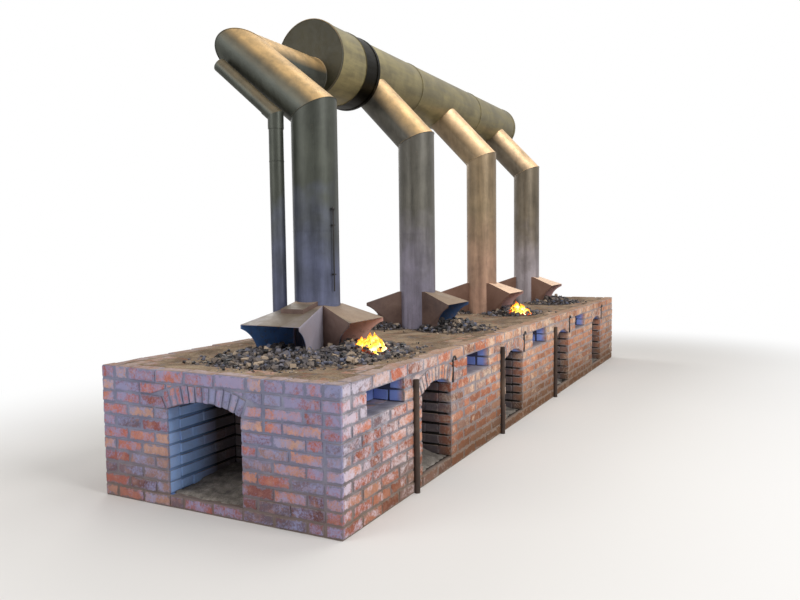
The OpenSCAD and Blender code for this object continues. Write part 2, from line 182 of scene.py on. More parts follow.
def palePaper():
    # matt pale paper that keeps the shadow near the bench and fades to the white of the backdrop
    material, add, shader, place = newMaterial("palePaper")
    setInputs(shader, {"Base Color": studio["floor"], "Roughness": 0.95, "Specular IOR Level": 0.05})
    away = add("VectorMath SUBTRACT", add("VectorMath ABSOLUTE", place), studio["half"])
    away = add("VectorMath LENGTH", add("VectorMath MAXIMUM", away, (0, 0, 0)))
    fade = add("MapRange SMOOTHSTEP", away, studio["near"], studio["far"])
    fade = add("Math MULTIPLY", fade, add("LightPath").outputs["Is Camera Ray"])
    white = add("Emission", studio["white"], 1.0)
    output = next(n for n in material.node_tree.nodes if n.type == "OUTPUT_MATERIAL")
    setInputs(output, {"Surface": add("MixShader", fade, shader, white)})
    return material


placeCamera()
makeStudio()
scene.view_settings.view_transform = "Standard"
print("camera and studio")


bench = {
    "end": 3.525, "face": 0.875, "spring": 0.6, "courses": 8, "coping": 0.75, "top": 0.825,
    "arches": [-2.315, -0.695, 0.925, 2.545], "archHalf": 0.24, "pit": 0.5,
    "niches": [-3.025, -1.555, 0.065, 1.685], "nicheHalf": 0.23, "nicheDepth": 0.215,
    "nicheFloor": (0.545, 0.603), "nicheGap": 0.008,
    "endArch": 0.06, "endArchHalf": 0.28, "endPit": 0.6, "pitch": 1.62, "rise": 0.06, "ring": 0.1025,
    "flues": [-2.405, -0.785, 0.835, 2.455], "flueRadius": 0.16, "bend": 2.49, "deck": 0.815,
    "openJoint": -0.375, "sill": (0.005, 0.070),
}


def sootAndShadeMask(add, x, y, z):
    # how deep a point lies in an ash pit, from 0 at the face to 1 well inside. The pits darken by it with
    # soot and painted shade
    along = add("Math SUBTRACT", x, bench["arches"][0] - bench["pitch"] / 2)
    along = add("Math FLOORED_MODULO", along, bench["pitch"])
    along = add("Math ABSOLUTE", add("Math SUBTRACT", along, bench["pitch"] / 2))
    inPit = add("Math LESS_THAN", along, bench["archHalf"] + 0.02)
    side = add("Math ABSOLUTE", y)
    deep = add("MapRange", side, bench["face"] - 0.01, bench["face"] - 0.13)
    level = add("MapRange", z, 0.74, 0.70)
    both = add("Math MULTIPLY", add("Math MULTIPLY", inPit, deep), level)
    ends = add("MapRange", add("Math ABSOLUTE", x), bench["end"] - 0.03, bench["end"] - 0.40)
    ends = add("Math MULTIPLY", ends, add("Math LESS_THAN", side, 0.37))
    ends = add("Math MULTIPLY", ends, add("Math LESS_THAN", z, 0.70))
    return add("Math MAXIMUM", both, ends)


def nicheMask(add, x, y, z):
    # 1 inside the tool niches, where soot and shadow have turned the bricks slate blue
    deep = add("MapRange", add("Math ABSOLUTE", y), bench["face"] - 0.006, bench["face"] - 0.05)
    level = add("MapRange", add("Math ABSOLUTE", add("Math SUBTRACT", z, 0.675)), 0.078, 0.070)
    inner = add("Math LESS_THAN", add("Math ABSOLUTE", x), bench["end"] - 0.22)
    return add("Math MULTIPLY", add("Math MULTIPLY", deep, level), inner)


def blueJambLightMask(add, x, y, z):
    # 1 on the far jamb of the near end's arch, which lies in the arch's shade: a strong blue is painted there
    # as the cool light in that shade
    near = add("MapRange", x, -3.10, -3.30)
    behind = add("MapRange", x, -3.524, -3.515)
    side = add("Math COMPARE", y, bench["endArch"] + bench["endArchHalf"], 0.018)
    low = add("Math LESS_THAN", z, 0.60)
    return add("Math MULTIPLY", add("Math MULTIPLY", near, behind), add("Math MULTIPLY", side, low))


def rimDistance(add):
    # distance on a brick's face to its nearest arris: the middle one of its three depths under the faces
    place = add("VectorMath ABSOLUTE", add("Attribute", attribute_name="brickPlace").outputs["Vector"])
    half = add("Attribute", attribute_name="brickHalf").outputs["Vector"]
    a, b, c = add("SeparateXYZ", add("VectorMath SUBTRACT", half, place)).outputs
    least, most = add("Math MINIMUM", a, b), add("Math MAXIMUM", a, b)
    return add("Math MAXIMUM", least, add("Math MINIMUM", most, c))


# a noise's scale is blotches to the metre, so 24 gives blotches of 42 mm. Real sand and grit of 1 mm would
# be too fine to show, so they are drawn 4 to 7 mm coarse


def mortarShade(add, place, x, z):
    # grey and chalky on the near end, warmer and paler along the front, tan with mud near the floor
    cloud = add("TexNoise", place, 7, 5, 0.65)  # a batch of mortar, 140 mm
    ramp = ((0.28, "#6c6974"), (0.5, "#9794a0"), (0.72, "#c3c0cb"))
    shade = add("ValToRGB", cloud, ramp=ramp)
    shade = stain(add, shade, "#756c69", add("TexNoise", place, 190, 4, 0.7), 0.4, 0.7, 0.5)
    shade = stain(add, shade, "#c7b3a8", x, -3.2, -0.5, 0.5)
    # painted light: on the near end's face the mortar is tinted blue as the cool light falling there
    shade = stain(add, shade, "#8287a6", x, -3.505, -3.515, 0.6)
    return stain(add, shade, "#7c664e", z, 0.45, 0.05, 0.75)


def oldBrick():
    # hand-moulded clay fired in a clamp: every brick has its own shade, the faces are sandy and pitted,
    # lime is smeared over the arrises, salts bloom on the faces, and soot with painted shade darkens the pits
    material, add, shader, place = newMaterial("clampFiredBrick")
    x, y, z = add("SeparateXYZ", place).outputs
    tone = add("Attribute", attribute_name="brickTone").outputs["Fac"]
    shade = add("ValToRGB", tone, ramp=(
        (0.0, "#523a38"), (0.10, "#864a3c"), (0.24, "#ac5c44"), (0.42, "#c46e54"), (0.6, "#d48a6e"),
        (0.76, "#d8a88d"), (0.86, "#a58880"), (0.93, "#7f727c"), (1.0, "#55505c"),
    ))
    # the far front is warmer, the near end greyer, and all is tan and dusty near the floor
    warm = add("MapRange", x, -3.2, 0.2, 0.0, 0.5)
    shade = add("Mix", warm, shade, "#cb9066")
    patch = add("TexNoise", place, 24, 5, 0.65)  # fire marks, 42 mm
    shade = stain(add, shade, "#8a5546", patch, 0.42, 0.7, 0.5)
    shade = stain(add, shade, "#d9a58d", add("TexNoise", place, 13, 4, 0.6), 0.5, 0.75, 0.6)
    grain = add("TexNoise", place, 240, 2, 0.7)  # sand and pits, 4 mm
    shade = stain(add, shade, "#d0a592", grain, 0.52, 0.75, 0.5)
    shade = stain(add, shade, "#50383a", grain, 0.42, 0.28, 0.5)
    along = add("MapRange", x, -3.4, -1.6, 0.35, 0.9)
    shade = add("Mix", add("Math MULTIPLY", add("MapRange", z, 0.50, 0.08), along), shade, "#60442e")
    # lime bloom in clouds, more of it high up on the near end, and a painted highlight at the front's
    # near corner, whitened further where the light falls on it
    cloud = add("TexNoise", place, 5.0, 6, 0.72, Distortion=0.7)  # damp, 200 mm
    fine = add("MapRange", add("TexNoise", place, 70, 4, 0.75), 0.3, 0.7, -0.10, 0.10)
    near = add("MapRange", x, -1.8, -3.5, 0.0, 0.075)
    high = add("MapRange", z, 0.1, 0.8, -0.06, 0.05)
    # painted highlight: the front's near corner gets extra whitening for the light on it
    quoin = add("MapRange", x, -3.2, -3.42, 0.0, 0.05)
    quoin = add("Math MULTIPLY", quoin, add("MapRange", y, -0.6, -0.8))
    near = add("Math ADD", near, quoin)
    bloomAndHighlight = add("Math ADD", add("Math ADD", cloud, fine), add("Math ADD", near, high))
    lime = add("Mix", add("MapRange", x, -3.45, -1.7), "#d2cbdc", "#ead2b8")
    # painted light: on the near end's face the lime is tinted blue as the cool light falling there
    lime = add("Mix", add("MapRange", x, -3.505, -3.515), lime, "#9ba0c6")
    shade = stain(add, shade, lime, bloomAndHighlight, 0.50, 0.68, 0.8)
    # mortar smeared over the arrises
    rim = rimDistance(add)
    ragged = add("MapRange", add("TexNoise", place, 30, 6, 0.75), 0.3, 0.7, -0.018, 0.022)
    smear = add("MapRange", add("Math SUBTRACT", rim, ragged), 0.007, 0.001, 0.0, 0.92)
    shade = add("Mix", smear, shade, mortarShade(add, place, x, z))
    # soot and painted shade: the bricks grey the deeper they lie in a pit
    sootAndShade = sootAndShadeMask(add, x, y, z)
    sootyShade = add("Math MULTIPLY", sootAndShade, add("MapRange", cloud, 0.3, 0.65, 0.95, 0.80))
    shade = add("Mix", sootyShade, shade, "#5b575c")
    # painted light: the bricks on the near end's face are tinted blue as the cool light falling on that face,
    # less so inside the pits
    paintedCoolLight = add("MapRange", x, -3.50, -3.515, 0.0, 0.10)
    paintedCoolLight = add("Math MULTIPLY", paintedCoolLight, add("MapRange", sootAndShade, 0.3, 0.0))
    shade = add("Mix", paintedCoolLight, shade, "#6a70a4")
    shade = add("Mix", add("Math MULTIPLY", nicheMask(add, x, y, z), 0.92), shade, "#96b2ff")
    # painted light: the bricks of the shaded jamb are painted bright blue as the cool light in that shade
    blueJambLight = add("Math MULTIPLY", blueJambLightMask(add, x, y, z), add("MapRange", cloud, 0.3, 0.6, 0.8, 1.0))
    shade = add("Mix", blueJambLight, shade, "#a4c8ff")
    up = add("SeparateXYZ", add("NewGeometry").outputs["Normal"]).outputs["Z"]
    dusty = add("Math MULTIPLY", add("MapRange", up, 0.5, 0.85), add("MapRange", patch, 0.3, 0.6, 0.95, 0.55))
    shade = add("Mix", dusty, shade, "#8d7762")
    setInputs(shader, {"Base Color": shade, "Roughness": 0.92, "Specular IOR Level": 0.2})
    height = add("Math ADD", patch, add("Math MULTIPLY", grain, 0.5))
    height = add("Math ADD", height, add("Math MULTIPLY", smear, 0.35))
    setInputs(shader, {"Normal": add("Bump", Height=height, Strength=0.7, Distance=0.004)})
    return material


def oldMortar():
    # lime and sand mortar struck roughly by trowel: grey and chalky, crumbling, black with soot and painted
    # shade in the pits
    material, add, shader, place = newMaterial("limeMortar")
    x, y, z = add("SeparateXYZ", place).outputs
    sand = add("TexNoise", place, 190, 4, 0.7)  # 5 mm
    shade = mortarShade(add, place, x, z)
    # soot and painted shade: the mortar turns almost black the deeper it lies in a pit
    shade = stain(add, shade, "#0f0d0c", sootAndShadeMask(add, x, y, z), 0.0, 0.2, 0.96)
    shade = add("Mix", add("Math MULTIPLY", nicheMask(add, x, y, z), 0.8), shade, "#3a4668")
    # painted light: the mortar of the shaded jamb is painted blue as the cool light in that shade
    shade = add("Mix", add("Math MULTIPLY", blueJambLightMask(add, x, y, z), 0.85), shade, "#7f9fd4")
    setInputs(shader, {"Base Color": shade, "Roughness": 0.95, "Specular IOR Level": 0.15})
    height = add("Math ADD", sand, add("TexNoise", place, 45, 4, 0.7))  # trowel marks, 22 mm
    setInputs(shader, {"Normal": add("Bump", Height=height, Strength=0.9, Distance=0.005)})
    return material


def rammedClay():
    # clay, ash and brick dust trodden and baked on the hearths: dull, crazed, dusty brown with pale ash
    material, add, shader, place = newMaterial("rammedClay")
    cloud = add("TexNoise", place, 3.6, 7, 0.7, Distortion=0.5)  # trodden paths, 280 mm
    shade = add("ValToRGB", cloud, ramp=(
        (0.3, "#4e4135"), (0.43, "#776451"), (0.54, "#968169"), (0.66, "#ae997f"), (0.78, "#c0ae98"),
    ))
    grit = add("TexNoise", place, 95, 6, 0.8)  # crumbs of brick and ash, 10 mm
    shade = stain(add, shade, "#3d332c", grit, 0.5, 0.66, 0.75)
    shade = stain(add, shade, "#bdb0a0", grit, 0.44, 0.3, 0.6)
    shade = stain(add, shade, "#9a5f47", add("TexNoise", place, 12, 3, 0.6), 0.56, 0.68, 0.55)
    shade = stain(add, shade, "#7c7a80", add("TexNoise", place, 8, 5, 0.7), 0.56, 0.72, 0.7)
    dust = add("Attribute", attribute_name="coalDust").outputs["Fac"]
    dust = add("Math ADD", dust, add("MapRange", add("TexNoise", place, 18, 6, 0.75), 0.3, 0.7, -0.3, 0.25))
    shade = stain(add, shade, "#2a2627", dust, 0.1, 0.6, 0.94)
    setInputs(shader, {"Base Color": shade, "Roughness": 0.95, "Specular IOR Level": 0.15})
    crack = add("TexVoronoi", place, Scale=8.0, feature="DISTANCE_TO_EDGE")  # plates of clay, 125 mm
    height = add("Math ADD", grit, add("Math MULTIPLY", add("MapRange", crack, 0.0, 0.03), 0.6))
    setInputs(shader, {"Normal": add("Bump", Height=height, Strength=0.9, Distance=0.007)})
    return material


def ashBed():
    # fine grey ash and cinders raked out under the hearths: powdery, matt, darker further in with soot and
    # painted shade
    material, add, shader, place = newMaterial("ashAndCinders")
    x, y, z = add("SeparateXYZ", place).outputs
    greys = ((0.3, "#6a645e"), (0.5, "#938b82"), (0.7, "#b3aaa0"))
    shade = add("ValToRGB", add("TexNoise", place, 16, 6, 0.7), ramp=greys)
    shade = stain(add, shade, "#4a4541", add("TexNoise", place, 150, 4, 0.75), 0.5, 0.68, 0.7)
    # soot and painted shade: the ash darkens the deeper it lies in a pit
    shade = add("Mix", add("Math MULTIPLY", sootAndShadeMask(add, x, y, z), 0.5), shade, "#3a3532")
    setInputs(shader, {"Base Color": shade, "Roughness": 0.97, "Specular IOR Level": 0.1})
    cinders = add("TexNoise", place, 110, 5, 0.8)  # 9 mm
    setInputs(shader, {"Normal": add("Bump", Height=cinders, Strength=1.0, Distance=0.006)})
    return material


def rolledSteel(name, along, ramp, metallic, rough, streak=1.0):
    # hot-rolled sheet, smoked and dulled by years of heat: soft sheen, faint streaks, blotches of scale.
    # along is how the streaks are stretched
    material, add, shader, place = newMaterial(name)
    stretch = add("Mapping", place, Scale=along)
    streaks = add("TexNoise", stretch, 16, 6, 0.7)  # wiped soot, 60 mm across the streak
    blotch = add("TexNoise", place, 3.5, 6, 0.65, Distortion=0.4)  # heat and damp, 290 mm
    weight = add("Mix", 0.5 * streak, blotch, streaks, data_type="FLOAT")
    shade = add("ValToRGB", weight, ramp=ramp)
    fleck = add("TexNoise", place, 150, 4, 0.75)  # loose scale, 7 mm
    shade = stain(add, shade, "#6e5a49", fleck, 0.60, 0.75, 0.45)
    dull = add("MapRange", streaks, 0.3, 0.7, rough - 0.08, rough + 0.12)
    bump = add("Bump", Height=blotch, Strength=0.16, Distance=0.003)
    bump = add("Bump", Height=fleck, Strength=0.2, Distance=0.001, Normal=bump)
    setInputs(shader, {"Base Color": shade, "Metallic": metallic, "Roughness": dull, "Normal": bump})
    return material, add, shader, place, shade


# where each flue's colour starts and stops along the bench, and the colours of the flues' tops and feet
flueEdges = ((0.0, 0.22), (0.28, 0.47), (0.53, 0.72), (0.78, 1.0))
flueTops = ("#666a5f", "#89857a", "#cbb08a", "#a2937c")
flueFeet = ("#949cc6", "#c6bed6", "#ffccae", "#e6dae0")


def flueRamp(colours):
    return [(edge, colour) for edges, colour in zip(flueEdges, colours) for edge in edges]


def flueSteel():
    # rolled and lap-seamed sheet, long in smoke: a dull satin sheen
    material, add, shader, place, shade = rolledSteel("smokedFlueSteel", (1, 1, 0.10), (
        (0.3, "#7c7c7c"), (0.45, "#9d9d9d"), (0.58, "#b9b9b9"), (0.72, "#d6d5d3")), 0.5, 0.40)
    x, _, z = add("SeparateXYZ", place).outputs
    # each flue has aged in its own way: green-grey, grey, rusty brown and dun, and heat has blued their feet
    which = add("MapRange", x, bench["flues"][0] - 0.81, bench["flues"][3] + 0.81)
    upper = add("ValToRGB", which, ramp=flueRamp(flueTops))
    lower = add("ValToRGB", which, ramp=flueRamp(flueFeet))
    wander = add("MapRange", add("TexNoise", place, 2.2, 3, 0.6), 0.3, 0.7, -0.25, 0.25)
    hue = add("Mix", add("MapRange", add("Math ADD", z, wander), 1.9, 1.1), upper, lower)
    shade = add("Mix MULTIPLY", 1.0, shade, hue)
    # the drier upper bends carry pale dust, the sloping sheets most of all
    up = add("SeparateXYZ", add("NewGeometry").outputs["Normal"]).outputs["Z"]
    drift = add("MapRange", add("TexNoise", place, 9, 5, 0.7), 0.3, 0.6, 0.5, 1.0)  # 110 mm
    dust = add("Math MULTIPLY", add("MapRange", up, 0.02, 0.5, 0.0, 0.9), drift)
    dust = add("Math MULTIPLY", dust, add("MapRange", z, 2.30, 2.42))
    dust = add("Math MULTIPLY", dust, add("MapRange", x, -2.555, -2.525, 0.2, 1.0))
    shade = add("Mix", dust, shade, add("Mix", add("MapRange", x, -1.0, 0.8), "#d4ae76", "#f8d0a0"))
    setInputs(shader, {"Base Color": shade})
    return material


def ductSteel():
    # older sheet with a worn olive-grey coat: matt and cloudy
    material, add, shader, place, shade = rolledSteel("weatheredDuctSteel", (0.12, 1, 1), (
        (0.3, "#4b452f"), (0.46, "#716849"), (0.6, "#90855d"), (0.75, "#ab9e73")), 0.4, 0.48)
    x = add("SeparateXYZ", place).outputs["X"]
    # the drum's near end ring is olive and dark, then comes a pale sheet, then a near-black one that is
    # painted shade
    shade = stain(add, shade, "#232113", x, -1.568, -1.572, 0.9)
    # painted shade: the drum's last sheet is near black and fully metallic, so that it shows no sheen,
    # standing in for the shade across it
    shadedSheet = add("MapRange", x, -1.194, -1.190)
    shadedSheet = add("Math MULTIPLY", shadedSheet, add("MapRange", x, -0.950, -0.956))
    shade = add("Mix", add("Math MULTIPLY", shadedSheet, 0.98), shade, "#0c0904")
    shade = stain(add, shade, "#6a6248", x, -0.9, -0.3, 0.25)
    setInputs(shader, {"Base Color": shade, "Metallic": add("MapRange", shadedSheet, 0.0, 1.0, 0.4, 1.0)})
    return material


def hoodSteel():
    # thick plate over the fire: violet-brown scale on the sides, pale dust and soot specks on what faces up
    material, add, shader, place, shade = rolledSteel("scaledHoodPlate", (1, 1, 0.5), (
        (0.3, "#3f302d"), (0.45, "#5a4640"), (0.6, "#705a51"), (0.75, "#87736a")), 0.3, 0.55, 0.5)
    x, y, _ = add("SeparateXYZ", place).outputs
    aside = add("Math ABSOLUTE", y)
    end = add("Math SUBTRACT", add("Math SUBTRACT", bench["flues"][0], x), aside)
    end = add("Math MULTIPLY", add("MapRange", end, 0.0, 0.004), add("MapRange", aside, 0.094, 0.098))
    shade = add("Mix", add("Math MULTIPLY", end, 0.85), shade, "#a09ba8")
    shade = stain(add, shade, "#95694f", x, -0.3, 0.3, 0.35)
    up = add("SeparateXYZ", add("NewGeometry").outputs["Normal"]).outputs["Z"]
    patch = add("TexNoise", place, 12, 5, 0.7)  # swept dust, 80 mm
    dust = add("MapRange", up, 0.5, 0.85, 0.0, 0.95)
    dust = add("Math MULTIPLY", dust, add("MapRange", patch, 0.3, 0.6, 0.7, 1.0))
    powder = add("Mix", add("MapRange", x, -2.62, -2.58), "#6f6352", "#98836d")
    powder = add("Mix", add("MapRange", x, -0.3, 0.6), powder, "#ffdcbc")
    shade = add("Mix", dust, shade, powder)
    speck = add("MapRange", add("TexNoise", place, 75, 5, 0.8), 0.56, 0.7)  # fallen soot, 13 mm
    speck = add("Math MULTIPLY", speck, add("MapRange", up, 0.4, 0.8, 0.2, 0.8))
    shade = add("Mix", speck, shade, "#40352f")
    setInputs(shader, {"Base Color": shade})
    return material


def hoodLining():
    # the fire side of the hoods: blued and blackened plate, browner and redder on the front hoods. Its blue
    # is
    # painted light: far lighter than the plate's own navy, to make up for the shade inside the end hood
    material, add, shader, place, shade = rolledSteel("bluedHoodPlate", (1, 1, 1), (
        (0.3, "#43699f"), (0.5, "#5683c4"), (0.62, "#6793d0"), (0.8, "#7c8cae")), 0.05, 0.6, 0.3)
    x = add("SeparateXYZ", place).outputs["X"]
    front = add("Math MULTIPLY", add("MapRange", x, -2.54, -2.50), add("MapRange", x, -1.5, -1.8))
    # painted light: the hoods at the near end keep the lightened blue, and the hoods further along are toned
    # back to navy
    shade = stain(add, shade, "#2f4263", x, -2.0, -1.6, 0.85)
    far = add("MapRange", x, 0.2, 0.5, 0.0, 0.6)
    shade = add("Mix", add("Math MAXIMUM", add("Math MULTIPLY", front, 0.9), far), shade, "#e6ae98")
    scale = add("MapRange", add("TexNoise", place, 30, 6, 0.75), 0.53, 0.68, 0.0, 0.6)  # flakes, 33 mm
    shade = add("Mix", scale, shade, "#6d564b")
    setInputs(shader, {"Base Color": shade})
    return material


def castIron(name, ramp, rough):
    # forged and rusted bar and pipe: hammered skin, matt, rust and dust in patches
    return rolledSteel(name, (1, 1, 0.4), ramp, 0.4, rough, 0.6)[0]


def brokenCoal():
    # smithing coal and coke: matt black lumps with a few glassy faces, greyed and browned by ash
    material, add, shader, place = newMaterial("brokenCoal")
    tone = add("Attribute", attribute_name="coalTone").outputs["Fac"]
    shade = add("ValToRGB", tone, ramp=(
        (0.0, "#111012"), (0.22, "#29262a"), (0.4, "#4a4446"), (0.58, "#73685f"), (0.72, "#5f657a"),
        (0.86, "#8c7c6c"), (1.0, "#a5927e"),
    ))
    ash = add("TexNoise", place, 60, 5, 0.75)  # dusty patches, 17 mm
    shade = stain(add, shade, "#a39990", ash, 0.54, 0.72, 0.5)
    setInputs(shader, {"Base Color": shade, "Roughness": add("MapRange", tone, 0.0, 0.6, 0.35, 0.9)})
    setInputs(shader, {"Normal": add("Bump", Height=ash, Strength=0.6, Distance=0.004)})
    return material


def glowingCoke():
    # coke at forging heat: it lights itself, white-yellow where the blast feeds it and red at the rim
    material, add, shader, place = newMaterial("glowingCoke")
    tone = add("Attribute", attribute_name="glow").outputs["Fac"]
    heat = add("Math ADD", tone, add("MapRange", add("TexNoise", place, 40, 4, 0.7), 0.3, 0.7, -0.25, 0.25))
    shade = add("ValToRGB", heat, ramp=(
        (0.0, "#2a1511"), (0.3, "#8e2a08"), (0.55, "#f0620a"), (0.8, "#ffb52a"), (1.0, "#fff0b8"),
    ))
    strength = add("MapRange", heat, 0.1, 1.0, 0.2, 2.4)
    char = add("Mix", 0.7, shade, "#2b2321")
    setInputs(shader, {"Emission Color": shade, "Emission Strength": strength})
    setInputs(shader, {"Base Color": char, "Roughness": 0.9})
    return material


def openFlame():
    # burning gas: bright and almost solid at its root, thinner and redder towards the tips
    material, add, shader, place = newMaterial("openFlame")
    rise = add("Attribute", attribute_name="flameRise").outputs["Fac"]
    lick = add("MapRange", add("TexNoise", place, 22, 4, 0.6, Distortion=0.8), 0.3, 0.7, -0.28, 0.28)
    heat = add("Math ADD", rise, lick)
    shade = add("ValToRGB", heat, ramp=(
        (0.0, "#fffdf0"), (0.42, "#fff4a8"), (0.66, "#ffd23a"), (0.85, "#ff9c18"), (1.0, "#f0620c"),
    ))
    solid = add("MapRange", heat, 0.82, 1.15, 0.97, 0.0)
    setInputs(shader, {"Emission Color": shade, "Emission Strength": 2.0})
    setInputs(shader, {"Base Color": "#1a0d06", "Alpha": solid})
    return material


brickMaterial = oldBrick()
mortarMaterial = oldMortar()
clayMaterial = rammedClay()
ashMaterial = ashBed()
flueMaterial = flueSteel()
ductMaterial = ductSteel()
hoodMaterial = hoodSteel()
liningMaterial = hoodLining()
ironMaterial = castIron("blackIron", ((0.3, "#1d1c1d"), (0.5, "#2c2a2a"), (0.7, "#45403c")), 0.5)
rustMaterial = castIron("rustyPipe", ((0.3, "#2c2320"), (0.5, "#473a33"), (0.7, "#6b5a4c")), 0.7)
coalMaterial = brokenCoal()
cokeMaterial = glowingCoke()
flameMaterial = openFlame()
print("materials")


def makePiece(shape, name, materials, replaced=()):
    data = bpy.data.meshes.new(name)
    shape.to_mesh(data)
    shape.free()
    piece = bpy.data.objects.new(name, data)
    scene.collection.objects.link(piece)
    for material in materials:
        data.materials.append(material)
    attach(piece, "root")
    if replaced:
        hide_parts(*replaced)
    print(name, len(data.polygons), "faces")
    return piece


brick = {
    "length": 0.215, "width": 0.1025, "height": 0.065, "joint": 0.010, "course": 0.075, "proud": 0.0038,
    "arris": 0.006, "wear": 0.0014, "turn": (0.5, 1.4, 0.45),  # most turn about X, Y and Z, in degrees
    "slack": 0.35,  # how far an upright joint strays, in joints
    "stand": (-0.0025, 0.0007), "settle": 0.002,  # how far a brick strays out, in and up or down
    "halved": 0.07,  # share of the stretchers that are laid as two headers
    "wedgeJoint": 0.0085, "open": (0.008, 0.012),  # joint in an arch ring, half width of the open joint
}
spare = bpy.data.meshes.new("spareShape")


def pour(part, shape, smoothed=False):
    # adds a finished part to the shape of its piece
    for face in part.faces:
        face.smooth = smoothed
    part.to_mesh(spare)
    part.free()
    shape.from_mesh(spare)


def breakOff(part, point, normal):
    # cuts off what lies beyond a plane, and closes the cut
    everything = part.verts[:] + part.edges[:] + part.faces[:]
    cut = bmesh.ops.bisect_plane(part, geom=everything, plane_co=point, plane_no=normal, clear_outer=True)
    edges = [e for e in cut["geom_cut"] if isinstance(e, bmesh.types.BMEdge)]
    if edges:
        bmesh.ops.holes_fill(part, edges=edges)


def newWall(place, seed, split=None):
    # split is where an open joint runs down through the upper courses
    return {"shape": bmesh.new(), "place": place, "chance": random.Random(seed), "split": split}


def addBrick(wall, low, high, cuts=(), taper=1.0, swing=None, tone=None):
    chance = wall["chance"]
    part = bmesh.new()
    toneLayer = part.faces.layers.float.new("brickTone")
    placeLayer = part.verts.layers.float_vector.new("brickPlace")
    halfLayer = part.verts.layers.float_vector.new("brickHalf")
    bmesh.ops.create_cube(part, size=1.0)
    low, high = Vector(low), Vector(high)
    middle = (low + high) / 2
    bmesh.ops.scale(part, vec=high - low, verts=part.verts[:])
    for v in part.verts:
        v[placeLayer] = v.co
        v[halfLayer] = (high - low) / 2
    if taper != 1.0:
        bmesh.ops.scale(part, vec=(taper, 1, 1), verts=[v for v in part.verts if v.co.z > 0])
    tilt = Matrix.Identity(4)
    for axis, most in zip("XYZ", brick["turn"]):
        tilt = tilt @ Matrix.Rotation(math.radians(chance.uniform(-most, most)), 4, axis)
    bmesh.ops.transform(part, matrix=Matrix.Translation(middle) @ tilt, verts=part.verts[:])
    if swing:
        angle, pivot = swing
        turn = Matrix.Translation(pivot) @ Matrix.Rotation(angle, 4, "Y") @ Matrix.Translation(-Vector(pivot))
        bmesh.ops.transform(part, matrix=turn, verts=part.verts[:])
    for point, normal in cuts:
        breakOff(part, point, normal)
    if len(part.faces) < 4:
        part.free()
        return
    bmesh.ops.bevel(
        part, geom=part.edges[:], offset=brick["arris"] * chance.uniform(0.7, 1.5), offset_type="OFFSET",
        segments=2, profile=0.5, affect="EDGES", material=-1, clamp_overlap=True)
    wear = brick["wear"]
    for v in part.verts:
        v.co += Vector([chance.uniform(-wear, wear) for axis in "xyz"])
    bmesh.ops.transform(part, matrix=wall["place"], verts=part.verts[:])
    if wall["place"].determinant() < 0:
        bmesh.ops.reverse_faces(part, faces=part.faces[:])
    shade = chance.random() if tone is None else tone
    for face in part.faces:
        face[toneLayer] = shade
    pour(part, wall["shape"])


def unitsFor(chance, length, odd):
    # stretchers and headers that fill a length, so that the joints of two courses never meet
    half = brick["width"] + brick["joint"]
    halves = max(1, round((length + brick["joint"]) / half))
    if halves == 1:
        units = [1]
    elif halves % 2:
        units = [1] + [2] * (halves // 2) if odd else [2] * (halves // 2) + [1]
    elif odd:
        units = [1] + [2] * (halves // 2 - 1) + [1]
    else:
        units = [2] * (halves // 2)
    for k in range(1, len(units) - 1):
        if units[k] == 2 and chance.random() < brick["halved"]:
            units[k:k + 1] = [1, 1]
    return units


def layRow(wall, start, end, low, high, depth, odd=False, cuts=(), keepTone=None, front=None):
    # one row of bricks from start to end. depth goes into the wall, and odd rows shift the upright joints
    chance, split = wall["chance"], wall["split"]
    if split and low > 0.5 and start < split - 0.05 and split + 0.05 < end:
        gap = chance.uniform(*brick["open"])
        layRow(wall, start, split - gap, low, high, depth, odd, cuts, keepTone, front)
        layRow(wall, split + gap, end, low, high, depth, odd, cuts, keepTone, front)
        return
    units = unitsFor(chance, end - start, odd)
    step = (end - start + brick["joint"]) / sum(units)
    at = start
    front = -brick["proud"] if front is None else front
    for k, unit in enumerate(units):
        nextAt = at + unit * step
        slack = brick["joint"] * brick["slack"]
        left = at if k == 0 else at + chance.uniform(-slack, slack)
        right = end if k == len(units) - 1 else nextAt - brick["joint"] + chance.uniform(-slack, slack)
        outer = front + chance.uniform(*brick["stand"])
        settle = chance.uniform(-brick["settle"], brick["settle"])
        tone = keepTone(chance) if keepTone else None
        addBrick(wall, (left, outer, low + settle), (right, outer + depth, high + settle), cuts, tone=tone)
        at = nextAt


def courseHeights(course):
    low = course * brick["course"] + brick["joint"] / 2
    return low, low + brick["height"]


def arcOf(half):
    # an arch's radius, the height of its centre, and its half angle
    radius = (half * half + bench["rise"] ** 2) / (2 * bench["rise"])
    return radius, bench["spring"] + bench["rise"] - radius, math.asin(half / radius)


def archCuts(centre, half, lean, side):
    # planes that cut the bricks beside an arch ring: one for course 8 and one for course 9, and how far
    # the ring reaches sideways at its top. side is +1 right of the arch, -1 left
    radius, middle, angle = arcOf(half)
    outer = radius + bench["ring"]
    spring = (centre + side * (half + lean), 0, bench["spring"])
    skew = (spring, (-side * math.cos(angle), 0, math.sin(angle)))
    heights = (middle + outer * math.cos(angle), bench["coping"] - 0.005)
    reach = [math.sqrt(outer ** 2 - (z - middle) ** 2) for z in heights]
    d = Vector((reach[1] - reach[0], heights[1] - heights[0])).normalized()
    away = Vector((-side * d.y, 0, d.x))
    point = Vector((centre + side * reach[0], 0, heights[0])) - away * (lean + 0.004)
    return skew, (tuple(point), tuple(away)), reach[1]


